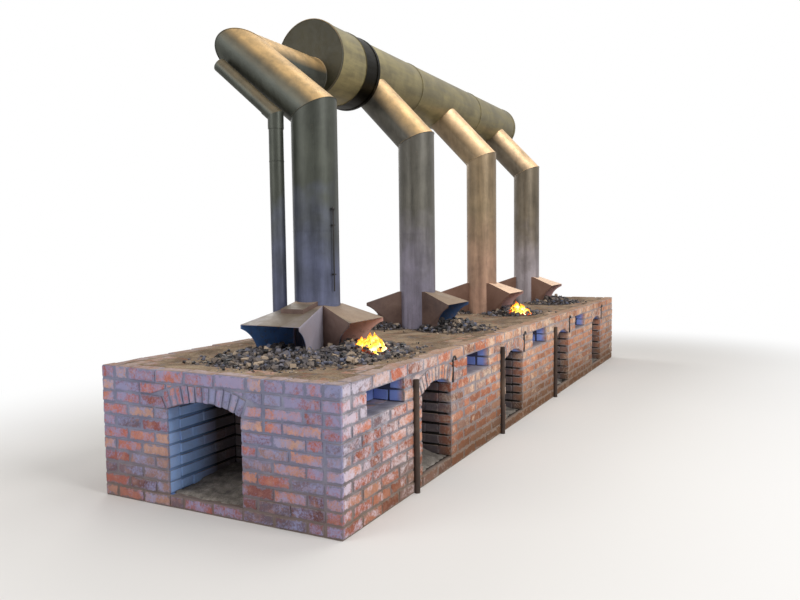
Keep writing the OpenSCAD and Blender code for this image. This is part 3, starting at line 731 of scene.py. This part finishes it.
def layFace(wall, ends, arches, half, niches, column):
    # one wall face: courses 0 to 7 between the openings, then 8 and 9 between arch rings and niches.
    # With a column, a pier ends in a brick that shows in the jamb
    joint, width, length, proud = brick["joint"], brick["width"], brick["length"], brick["proud"]
    chance = wall["chance"]
    for course in range(bench["courses"]):
        low, high = courseHeights(course)
        odd = course % 2 == 1
        start, lead = ends[0][odd], not column  # the first pier starts at the quoin, which laps on its own
        for centre in arches:
            stop = centre - half + proud
            if column:
                layRow(wall, start, stop - width - joint * 1.4, low, high, width, lead)
                left = stop - width + 0.004 * chance.uniform(-1, 1)
                right = stop + 0.006 * chance.uniform(-1, 0.3)
                layRow(wall, left, right, low, high, length, odd)
            else:
                layRow(wall, start, stop, low, high, width, lead)
            start, lead = centre + half - proud, odd
        layRow(wall, start, ends[1][odd], low, high, width, odd)
    stops = [(c - half, c + half, "arch", c) for c in arches]
    stops += [(c - bench["nicheHalf"], c + bench["nicheHalf"], "niche", c) for c in niches]
    for course in (8, 9):
        low, high = courseHeights(course)
        odd = course % 2 == 1
        start, cuts, lead = ends[0][odd], [], not column
        for left, right, kind, centre in sorted(stops):
            if kind == "niche":
                layRow(wall, start, left + proud, low, high, length if odd else width, lead, cuts)
                start, cuts, lead = right - proud, [], odd
                continue
            skew, chord, top = archCuts(centre, half, joint * 0.9, -1)
            aside = half + joint if course == 8 else top + joint
            cuts.append(skew if course == 8 else chord)
            layRow(wall, start, centre - aside, low, high, width, lead, cuts)
            skew, chord, top = archCuts(centre, half, joint * 0.9, 1)
            start, cuts, lead = centre + aside, [skew if course == 8 else chord], odd
        layRow(wall, start, ends[1][odd], low, high, width, odd, cuts)


def sootyTone(chance):
    return chance.choice((0.02, 0.1, 0.3, 0.95, 1.0, 0.6))


def nicheTone(chance):
    return chance.choice((0.97, 1.0, 0.05, 0.85))


def layPit(wall, centre, half, deep, heights):
    # jambs and back of an ash pit. The face bricks already show their own ends in the jambs
    joint, width, proud = brick["joint"], brick["width"], brick["proud"]
    chance = wall["chance"]
    for course in heights:
        low, high = courseHeights(course)
        odd = course % 2 == 1
        for side in (-1, 1):
            at = (brick["length"] if side == -1 else width) - 0.002
            units = unitsFor(chance, deep - at, odd)
            step = (deep - at) / sum(units)
            for unit in units:
                face = centre + side * (half - proud - chance.uniform(0.0, 0.008))
                left, right = sorted((face, centre + side * (half + width - proud)))
                near, far = (left, at - 0.003, low + 0.003), (right, at + unit * step, high - 0.003)
                addBrick(wall, near, far, tone=sootyTone(chance))
                at += unit * step
        ends = (centre - half + joint, centre + half - joint)
        layRow(wall, *ends, low, high, width, odd, front=deep - proud, keepTone=sootyTone)


def layNiche(wall, centre):
    # jambs, back and floor of a tool niche
    half, deep, proud, width = bench["nicheHalf"], bench["nicheDepth"], brick["proud"], brick["width"]
    chance = wall["chance"]
    ends = (centre - half + bench["nicheGap"], centre + half - bench["nicheGap"])
    for course in (8, 9):
        low, high = courseHeights(course)
        start = (brick["length"] if course % 2 else width) + brick["joint"]
        if deep - start > 0.03:
            for side in (-1, 1):
                left, right = sorted(centre + side * (half + back - proud) for back in (0, width))
                tone = chance.choice((0.9, 1.0, 0.05))
                addBrick(wall, (left, start, low), (right, deep, high), tone=tone)
        layRow(wall, *ends, low, high, width, course % 2 == 0, front=deep - proud, keepTone=nicheTone)
    layRow(wall, *ends, *bench["nicheFloor"], deep - width - 0.012, True, front=width + bench["nicheGap"])


def layRing(wall, centre, half, count, depths):
    # the wedge bricks of an arch, two deep
    radius, middle, angle = arcOf(half)
    step = 2 * angle / count
    pivot = Vector((centre, 0, middle))
    inner, outer = radius - brick["proud"], radius + bench["ring"]
    chance = wall["chance"]
    for k in range(count):
        lean = -angle + (k + 0.5) * step + chance.uniform(-0.03, 0.03) * step
        narrow = inner * step - brick["wedgeJoint"] * chance.uniform(0.7, 1.35)
        wide = outer * step - brick["wedgeJoint"]
        at = -brick["proud"] + chance.uniform(-0.004, 0.001)
        tone = chance.random()
        for depth in depths if k % 2 else reversed(depths):
            low = (centre - narrow / 2, at, middle + inner + chance.uniform(-0.002, 0.004))
            high = (centre + narrow / 2, at + depth, middle + outer)
            cuts = [((0, 0, bench["coping"] - 0.003), (0, 0, 1))]
            addBrick(wall, low, high, cuts, wide / narrow, (lean, pivot), tone)
            at += depth + brick["joint"]


def buildBrickwork():
    reach, face, joint, proud = bench["end"], bench["face"], brick["joint"], brick["proud"]
    lap = brick["width"] + joint
    longEnds = ((-reach - proud, -reach + lap), (reach + proud, reach - lap))
    shortEnds = ((-face + lap, -face - proud), (face - lap, face + proud))
    sides = {
        "front": Matrix.Translation((0, -face, 0)),
        "back": Matrix.Translation((0, face, 0)) @ Matrix.Scale(-1, 4, (0, 1, 0)),
        "nearEnd": Matrix(((0, 1, 0, -reach), (1, 0, 0, 0), (0, 0, 1, 0), (0, 0, 0, 1))),
        "farEnd": Matrix(((0, -1, 0, reach), (1, 0, 0, 0), (0, 0, 1, 0), (0, 0, 0, 1))),
    }
    for seed, (side, place) in enumerate(sides.items()):
        long = side in ("front", "back")
        split = bench["openJoint"] if side == "nearEnd" else None
        wall, pits, rings = (newWall(place, seed * 10 + n, split) for n in range(3))
        arches = bench["arches"] if long else [bench["endArch"]]
        half = bench["archHalf"] if long else bench["endArchHalf"]
        layFace(wall, longEnds if long else shortEnds, arches, half, bench["niches"] if long else [], long)
        for centre in arches:
            layPit(pits, centre, half, bench["pit"] if long else bench["endPit"], range(bench["courses"]))
            layRing(rings, centre, half, 11 if long else 12, (brick["length"], brick["width"]))
            layRow(wall, centre - half + 0.006, centre + half - 0.006, *bench["sill"], brick["width"] - 0.01)
        if long:
            for centre in bench["niches"]:
                layNiche(pits, centre)
        for part, kind in ((wall, "FaceBricks"), (pits, "PitBricks"), (rings, "ArchRings")):
            makePiece(part["shape"], side + kind, [brickMaterial])
    coping = newWall(Matrix.Identity(4), 77)
    low, high = bench["coping"] + 0.004, bench["top"] + proud
    for side in (-1, 1):
        for row in range(2):
            inner = face - brick["length"] + 0.002 if row else face - brick["width"]
            depth = brick["width"] - 0.004 if row else brick["width"] + proud
            front = -inner - depth if side == -1 else inner
            layRow(coping, -reach - proud, reach + proud, low, high, depth, row == 0, front=front)
    for side in (-1, 1):
        end = "nearEnd" if side == -1 else "farEnd"
        wall = newWall(sides[end], 90 + side, bench["openJoint"] if side == -1 else None)
        for row in range(2):
            stop = face - brick["length"] - joint
            front = -proud if row == 0 else brick["width"] + 0.006
            layRow(wall, -stop, stop, low, high, brick["width"], row == 0, front=front)
        pour(wall["shape"], coping["shape"])
    makePiece(coping["shape"], "copingBricks", [brickMaterial])


buildBrickwork()


# hearth: centre x and y, radii of its coal along and across the bench
hearths = [(x, y, 0.325, 0.325) for y in (-0.335, 0.335) for x in bench["flues"][1:]]
hearths += [(-2.46, -0.37, 0.46, 0.31), (bench["flues"][0] - 0.495, 0.0, 0.36, 0.40)]
deck = {
    "grid": 0.0125, "inside": 0.821, "mound": 0.062, "inX": 3.31, "inY": 0.66, "low": 0.775,
    "bumps": (0.004, 0.004, 0.0025), "rim": 0.010, "worn": 0.020,  # wide, fine and gritty bumps
}


def smooth(value, low, high):
    t = min(1.0, max(0.0, (value - low) / (high - low)))
    return t * t * (3 - 2 * t)


def hash3(x, y, z):
    return noise.noise(Vector((x, y, z)))


def moundAt(x, y):
    # height of the coal's mound and amount of its dust, from 0 to 1
    best, dust = 0.0, 0.0
    for cx, cy, rx, ry in hearths:
        r = math.hypot((x - cx) / rx, (y - cy) / ry)
        best = max(best, 1 - smooth(r, 0.25, 1.0))
        dust = max(dust, 1 - smooth(r, 0.75, 1.35))
    return best, dust


def deckAt(x, y):
    # height of the clay, which rises to a rim and is worn away over the coping, and its dust
    out = max(abs(x) - deck["inX"], abs(y) - deck["inY"])
    wide, fine, grit = hash3(x * 2.1, y * 2.1, 3.0), hash3(x * 9, y * 9, 7.0), hash3(x * 38, y * 38, 1.0)
    lift, dust = moundAt(x, y)
    bumps = deck["bumps"]
    z = deck["inside"] + bumps[0] * wide + bumps[1] * fine + bumps[2] * grit
    creep = out + 0.03 * fine + 0.04 * wide
    z += deck["rim"] * smooth(out, -0.05, 0.03) - deck["worn"] * smooth(creep, 0.10, 0.22)
    return z + deck["mound"] * lift * (1 + 0.3 * fine + 0.12 * grit), dust


def addBed(shape, low, high, grid, heightAt, bottom, layer=None):
    # a bumpy bed with a skirt down to its flat bottom
    part = bmesh.new()
    valueLayer = part.verts.layers.float.new(layer) if layer else None
    spanX, spanY = high[0] - low[0], high[1] - low[1]
    segments = [max(2, round(span / grid)) for span in (spanX, spanY)]
    bmesh.ops.create_grid(part, x_segments=segments[0], y_segments=segments[1], size=0.5)
    bmesh.ops.scale(part, vec=(spanX, spanY, 1), verts=part.verts[:])
    bmesh.ops.translate(part, vec=((low[0] + high[0]) / 2, (low[1] + high[1]) / 2, 0), verts=part.verts[:])
    for v in part.verts:
        v.co.z, value = heightAt(v.co.x, v.co.y)
        if layer:
            v[valueLayer] = value
    rim = [e for e in part.edges if e.is_boundary]
    skirt = bmesh.ops.extrude_edge_only(part, edges=rim)["geom"]
    for v in skirt:
        if isinstance(v, bmesh.types.BMVert):
            v.co.z = bottom
    bmesh.ops.contextual_create(part, geom=[e for e in skirt if isinstance(e, bmesh.types.BMEdge)])
    bmesh.ops.recalc_face_normals(part, faces=part.faces[:])
    pour(part, shape, True)


def buildDeck():
    shape = bmesh.new()
    halfX, halfY = bench["end"] - 0.035, bench["face"] - 0.035
    addBed(shape, (-halfX, -halfY), (halfX, halfY), deck["grid"], deckAt, deck["low"], "coalDust")
    makePiece(shape, "clayDeck", [clayMaterial], ["hearth_deck"])


ash = {
    "grid": 0.016, "start": 0.012, "low": 0.02, "high": 0.080,
    "side": (0.010, 0.006, 0.10), "end": (0.012, 0.008, 0.03),  # coarse bumps, fine bumps, rise to the back
}


def ashAt(x, y, into, coarse, fine, rise):
    bumps = coarse * hash3(x * 7, y * 7, 2.0) + fine * hash3(x * 23, y * 23, 5.0)
    bumps += 0.003 * hash3(x * 60, y * 60, 9.0)
    return ash["high"] + bumps + rise * smooth(into, 0.05, 0.45) - 0.012 * smooth(0.06 - into, 0, 0.06), 0


def sideAsh(x, y):
    return ashAt(x, y, bench["face"] - abs(y), *ash["side"])


def endAsh(x, y):
    return ashAt(x, y, bench["end"] - abs(x), *ash["end"])


def buildAsh():
    # ash raked out into the pits lies on the sills and rises towards the back
    shape = bmesh.new()
    face, half = bench["face"], bench["archHalf"] - 0.001
    for centre in bench["arches"]:
        for side in (-1, 1):
            ys = sorted((side * (face - ash["start"]), side * (face - bench["pit"] + 0.004)))
            addBed(shape, (centre - half, ys[0]), (centre + half, ys[1]), ash["grid"], sideAsh, ash["low"])
    middle, half = bench["endArch"], bench["endArchHalf"] - 0.001
    for side in (-1, 1):
        xs = sorted((side * (bench["end"] - ash["start"]), side * (bench["end"] - bench["endPit"] + 0.004)))
        addBed(shape, (xs[0], middle - half), (xs[1], middle + half), ash["grid"], endAsh, ash["low"])
    makePiece(shape, "pitAsh", [ashMaterial])


coal = {
    "near": 2300, "far": 640,  # lumps on each hearth
    "small": 0.006, "large": 0.026, "broken": (0.40, 0.72),  # sizes, and how far out the broken faces lie
    "clear": 0.172, "stray": (0.95, 1.5), "tone": (0.46, 0.34),
}


def onDeck(x, y):
    # whether a lump at x, y lies on the bench and beside the flues
    inside = abs(y) < bench["face"] - 0.05 and abs(x) < bench["end"] - 0.05
    return inside and all(math.hypot(x - fx, y) > coal["clear"] for fx in bench["flues"])


def buildCoal():
    chance = random.Random(404)
    heap = bmesh.new()
    for cx, cy, rx, ry in hearths:
        lumps = coal["near"] if cx < -2 else coal["far"]
        for n in range(lumps):
            stray = n % 9 == 0
            r = chance.uniform(*coal["stray"]) if stray else math.sqrt(chance.random())
            turn = chance.uniform(0, 2 * math.pi)
            x, y = cx + r * rx * math.cos(turn), cy + r * ry * math.sin(turn)
            if not onDeck(x, y):
                continue
            size = coal["small"] + (coal["large"] - coal["small"]) * chance.random() ** 2.2
            if stray:
                size *= 0.6
            z = deckAt(x, y)[0] + size * chance.uniform(-0.2, 0.8)
            tone = min(1.0, max(0.0, chance.gauss(*coal["tone"])))
            addLump(heap, chance, (x, y, z), size, tone, "coalTone")
    makePiece(heap, "coalLumps", [coalMaterial], ["coal_heaps"])


def addLump(heap, chance, place, size, tone, layerName):
    part = bmesh.new()
    toneLayer = part.faces.layers.float.new(layerName)
    bmesh.ops.create_cube(part, size=1.5 * size)
    for n in range(3):  # broken faces
        away = Vector((chance.gauss(0, 1), chance.gauss(0, 1), chance.gauss(0, 1))).normalized()
        breakOff(part, away * size * chance.uniform(*coal["broken"]), away)
    sides = [chance.uniform(*span) for span in ((0.8, 1.35), (0.7, 1.1), (0.6, 1.0))]
    turn = Matrix.Rotation(chance.uniform(0, 6.28), 4, "Z")
    turn = turn @ Matrix.Rotation(chance.uniform(-0.9, 0.9), 4, "X")
    matrix = Matrix.Translation(place) @ turn @ Matrix.Diagonal((*sides, 1.0))
    bmesh.ops.transform(part, matrix=matrix, verts=part.verts[:])
    for face in part.faces:
        face[toneLayer] = tone
    pour(part, heap)


# fire: centre x and y, radius of the glow, tongues, height of the tallest
fires = [(-2.50, -0.49, 0.13, 30, 0.145), (0.72, -0.47, 0.13, 24, 0.125)]
coke = {"lumps": 110, "size": (0.009, 0.018)}  # in each fire


def buildFire():
    chance = random.Random(77)
    glow, flames = bmesh.new(), bmesh.new()
    for cx, cy, radius, tongues, tall in fires:
        for n in range(coke["lumps"]):
            r, turn = radius * math.sqrt(chance.random()), chance.uniform(0, 2 * math.pi)
            x, y = cx + r * math.cos(turn), cy + r * math.sin(turn)
            size = chance.uniform(*coke["size"])
            heat = min(1.0, max(0.05, 1.05 - 0.85 * r / radius + chance.uniform(-0.2, 0.2)))
            z = deckAt(x, y)[0] + size * chance.uniform(0.2, 1.0)
            addLump(glow, chance, (x, y, z), size, heat, "glow")
        for n in range(tongues):
            r, turn = radius * 0.75 * math.sqrt(chance.random()), chance.uniform(0, 2 * math.pi)
            x, y = cx + r * math.cos(turn), cy + r * math.sin(turn)
            high = tall * (1.1 - 0.8 * r / radius) * chance.uniform(0.6, 1.0)
            addTongue(flames, chance, (x, y, deckAt(x, y)[0]), 0.030 + 0.17 * high, high)
    makePiece(glow, "glowingCoke", [cokeMaterial])
    makePiece(flames, "flameTongues", [flameMaterial])


def addTongue(flames, chance, place, wide, high):
    # a leaning, twisting drop of fire
    part = bmesh.new()
    riseLayer = part.verts.layers.float.new("flameRise")
    bmesh.ops.create_icosphere(part, subdivisions=3, radius=1.0)
    lean = Vector((chance.uniform(-0.25, 0.25), chance.uniform(-0.25, 0.25)))
    seed = chance.uniform(0, 50)
    for v in part.verts:
        rise = (v.co.z + 1) / 2
        narrow = (1 - rise) ** 0.8 + 0.05
        wave = 0.55 * hash3(v.co.x * 1.2 + seed, v.co.y * 1.2, rise * 3)
        v[riseLayer] = rise
        for axis, side in enumerate((1, 9)):
            sway = lean[axis] + 0.25 * hash3(seed, side, rise * 2.5)
            v.co[axis] = place[axis] + wide * narrow * v.co[axis] * (1 + wave) + high * rise * sway
        v.co.z = place[2] - 0.02 + high * rise ** 1.25
    pour(part, flames, True)


buildDeck()
buildAsh()
buildCoal()
buildFire()


seam = {
    "bead": 0.0028, "ring": 0.0016, "entry": 0.005, "step": 0.0035, "sleeve": 0.0025,  # radii of the beads
    "strip": 0.016, "thick": 0.002, "lift": 0.0006, "rings": (bench["deck"] + 0.34, 1.66),
    "bends": (38.42, 46.44, 46.44, 46.44),  # slope of each branch in degrees
}
duct = {
    "y": 0.58, "lead": 2.95, "near": -1.577,
    "steps": ((-1.577, 3.10, 0.318), (-0.957, 3.148, 0.27)),  # x, height and radius of the drum's two ends
}
blast = {"foot": (bench["flues"][0] - 0.17, 0.20), "radius": 0.05, "sleeve": 2.14, "top": 2.36}


def addRing(shape, centre, across, along, radius, bead, count=72):
    # a welded bead in a closed ring, in the plane of across and along
    curve = bpy.data.curves.new("bead", "CURVE")
    curve.dimensions = "3D"
    curve.bevel_depth = bead
    curve.bevel_resolution = 1
    line = curve.splines.new("POLY")
    line.points.add(count - 1)
    for n, point in enumerate(line.points):
        x, y = (radius * turned(2 * math.pi * n / count) for turned in (math.cos, math.sin))
        point.co = (*(c + x * a + y * b for c, a, b in zip(centre, across, along)), 1)
    line.use_cyclic_u = True
    holder = bpy.data.objects.new("bead", curve)
    scene.collection.objects.link(holder)
    data = bpy.data.meshes.new_from_object(holder.evaluated_get(bpy.context.evaluated_depsgraph_get()))
    shape.from_mesh(data)
    bpy.data.objects.remove(holder)
    bpy.data.meshes.remove(data)


def addStrip(shape, middle, angle, radius, low, high):
    # a lap seam down a flue
    part = bmesh.new()
    bmesh.ops.create_cube(part, size=1.0)
    bmesh.ops.scale(part, vec=(seam["thick"], seam["strip"], high - low), verts=part.verts[:])
    bmesh.ops.bevel(
        part, geom=part.edges[:], offset=0.0007, segments=1, profile=0.5, affect="EDGES", material=-1)
    place = Matrix.Translation((middle[0], middle[1], (low + high) / 2)) @ Matrix.Rotation(angle, 4, "Z")
    bmesh.ops.transform(part, matrix=place @ Matrix.Translation((radius, 0, 0)), verts=part.verts[:])
    pour(part, shape)


def buildSeams():
    shape = bmesh.new()
    level, upright = ((1, 0, 0), (0, 1, 0)), ((0, 1, 0), (0, 0, 1))
    around, bend = bench["flueRadius"] + seam["lift"], bench["bend"]
    for fx, slope in zip(bench["flues"], seam["bends"]):
        drop = math.tan((math.pi / 2 - math.radians(slope)) / 2)
        addRing(shape, (fx, 0, bend), (1, 0, 0), (0, 1, -drop), around, seam["bead"])
        for z in seam["rings"]:
            addRing(shape, (fx, 0, z), *level, around, seam["ring"])
        addStrip(shape, (fx, 0), math.radians(-152), bench["flueRadius"], seam["rings"][0], bend - 0.12)
    addRing(shape, (duct["near"], duct["y"], duct["lead"]), *upright, around, seam["entry"])
    slope = math.radians(seam["bends"][0])
    mitre = ((0, -math.sin(slope), math.cos(slope)), (-1, math.cos(slope), math.sin(slope)))
    addRing(shape, (bench["flues"][0], duct["y"], duct["lead"]), *mitre, around, seam["bead"])
    for x, z, radius in duct["steps"]:
        addRing(shape, (x, duct["y"], z), *upright, radius, seam["step"], 96)
    addRing(shape, (*blast["foot"], blast["sleeve"]), *level, blast["radius"] + 0.0005, seam["sleeve"], 40)
    addStrip(shape, blast["foot"], math.radians(-75), blast["radius"], bench["deck"], blast["top"])
    for face in shape.faces:
        face.smooth = True
    piece = makePiece(shape, "sheetSeams", [flueMaterial])
    piece.data.set_sharp_from_angle(angle=math.radians(40))


buildSeams()
print("coal, fire and seams")


def plateCopy(nodeName, axis, bend):
    # a merged copy of hood plates, with eased edges and a lining material on the fire side
    shape = bmesh.new()
    shape.from_mesh(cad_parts[nodeName].data)
    bmesh.ops.remove_doubles(shape, verts=shape.verts[:], dist=0.00002)
    bmesh.ops.dissolve_limit(shape, angle_limit=math.radians(1.0), verts=shape.verts[:], edges=shape.edges[:])
    sharp = [e for e in shape.edges if len(e.link_faces) == 2 and e.calc_face_angle() > math.radians(40)]
    bmesh.ops.bevel(
        shape, geom=sharp, offset=bend, offset_type="OFFSET", segments=2, profile=0.5, affect="EDGES",
        material=-1, clamp_overlap=True)
    for face in shape.faces:
        middle, normal = face.calc_center_median(), face.normal
        fx = min(bench["flues"], key=lambda x: math.hypot(middle.x - x, middle.y))
        across = middle.x - fx if axis == "Y" else middle.y
        lean = normal.x if axis == "Y" else normal.y
        inside = (abs(lean) > 0.5 and across * lean < 0) or normal.z < -0.5
        face.material_index = 1 if inside else 0
        face.smooth = True
    return shape


hoods = (
    ("hoods_front", "Y", "frontHoodPlates"),
    ("hoods_back", "Y", "backHoodPlates"),
    ("hood_end", "X", "endHoodPlates"),
)
for nodeName, axis, name in hoods:
    plates = plateCopy(nodeName, axis, 0.0012)
    piece = makePiece(plates, name, [hoodMaterial, liningMaterial], [nodeName])
    piece.data.set_sharp_from_angle(angle=math.radians(32))


# what the CAD pieces that still show are made of
finishes = (
    (mortarMaterial, "core", ("spine_wall", "hearth_bed")),
    (mortarMaterial, "brick", (
        "end_cheeks", "front_piers", "back_piers", "front_arches", "back_arches", "end_arches",
        "front_spandrels", "back_spandrels", "end_spandrels", "arch_sills", "coping_long", "coping_ends")),
    (flueMaterial, "flue_steel", (
        "risers", "branches", "lead_pipe", "blast_pipe", "blast_elbow", "blast_run_pipe")),
    (ductMaterial, "duct_steel", ("drum", "drum_caps", "trunk", "duct_bands")),
    (hoodMaterial, "hood_steel", ("hood_cap",)),
    (ironMaterial, "iron", ("damper_rod", "damper_eyes", "hook_rods")),
    (rustMaterial, "rusty_iron", ("down_pipes",)),
)
for material, slot, names in finishes:
    for name in names:
        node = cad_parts[name]
        node.data.materials.clear()
        node.data.materials.append(material)
print("finishes")
